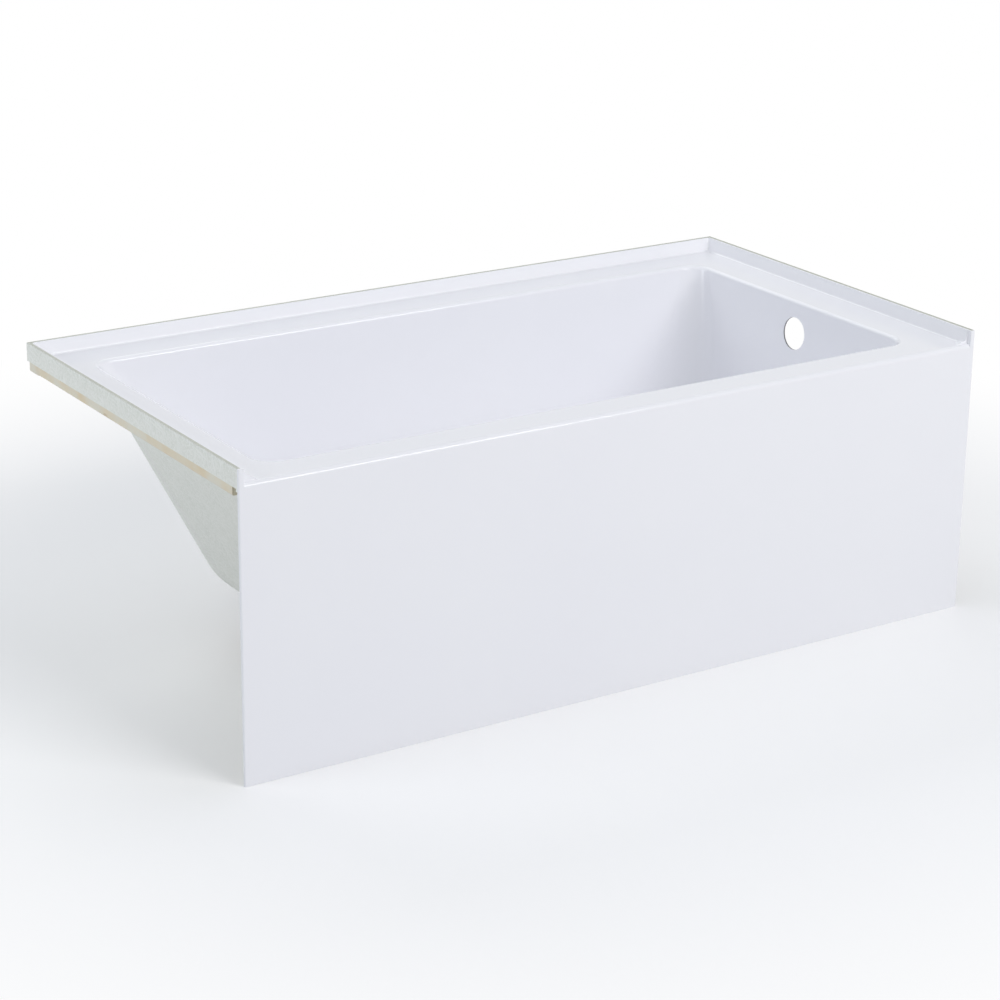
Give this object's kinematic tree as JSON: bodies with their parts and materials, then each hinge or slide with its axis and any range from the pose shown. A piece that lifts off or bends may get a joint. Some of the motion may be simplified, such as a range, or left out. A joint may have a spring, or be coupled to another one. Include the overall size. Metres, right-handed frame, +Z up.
{
  "type": "alcove bathtub",
  "caption": "White alcove bathtub with a flat apron, a tiling flange on three sides, drain and overflow holes at the right-hand end, on a steel cradle with levelling feet.",
  "frame": {"origin": "on the floor, under the middle of the tub's outline", "axes": "+X along the tub to the drain end, the apron faces -Y, +Z up"},
  "size_m": [1.524, 0.813, 0.546],
  "materials": {
    "acrylic": "gloss",
    "fibreglass": "rough",
    "timber": "sawn",
    "board": "matt",
    "steel_tube": "zinc plated",
    "cap_plastic": "matt",
    "foot_plastic": "matt",
    "zinc_steel": "zinc plated"
  },
  "bodies": {
    "tub": {"apron_bottom_batten": "timber", "apron_bracket_left": "zinc_steel", "apron_bracket_right": "zinc_steel", "apron_laminate": "fibreglass", "apron_panel": "acrylic", "apron_stile_left": "timber", "apron_stile_left_end": "timber", "apron_stile_middle": "timber", "apron_stile_right": "timber", "apron_stile_right_end": "timber", "back_rim_batten": "timber", "base_board": "board", "cross_bar_end_caps": "cap_plastic", "cross_bar_left": "steel_tube", "cross_bar_right": "steel_tube", "fibreglass_backing": "fibreglass", "front_rim_batten": "timber", "left_rim_batten": "timber", "long_rail_back": "steel_tube", "long_rail_front": "steel_tube", "lower_lock_nuts": "zinc_steel", "rail_end_caps": "cap_plastic", "right_rim_batten": "timber", "tub_shell": "acrylic", "upper_lock_nuts": "zinc_steel"},
    "foot_front_left": {"foot_pad_front_left": "foot_plastic", "foot_stud_front_left": "zinc_steel"},
    "foot_front_right": {"foot_pad_front_right": "foot_plastic", "foot_stud_front_right": "zinc_steel"},
    "foot_back_left": {"foot_pad_back_left": "foot_plastic", "foot_stud_back_left": "zinc_steel"},
    "foot_back_right": {"foot_pad_back_right": "foot_plastic", "foot_stud_back_right": "zinc_steel"}
  },
  "joints": [
    {"name": "level_front_left", "type": "slide", "parent": "tub", "child": "foot_front_left", "axis": [0, 0, -1], "range_m": [-0.008, 0.02]},
    {"name": "level_front_right", "type": "slide", "parent": "tub", "child": "foot_front_right", "axis": [0, 0, -1], "range_m": [-0.008, 0.02]},
    {"name": "level_back_left", "type": "slide", "parent": "tub", "child": "foot_back_left", "axis": [0, 0, -1], "range_m": [-0.008, 0.02]},
    {"name": "level_back_right", "type": "slide", "parent": "tub", "child": "foot_back_right", "axis": [0, 0, -1], "range_m": [-0.008, 0.02]}
  ]
}
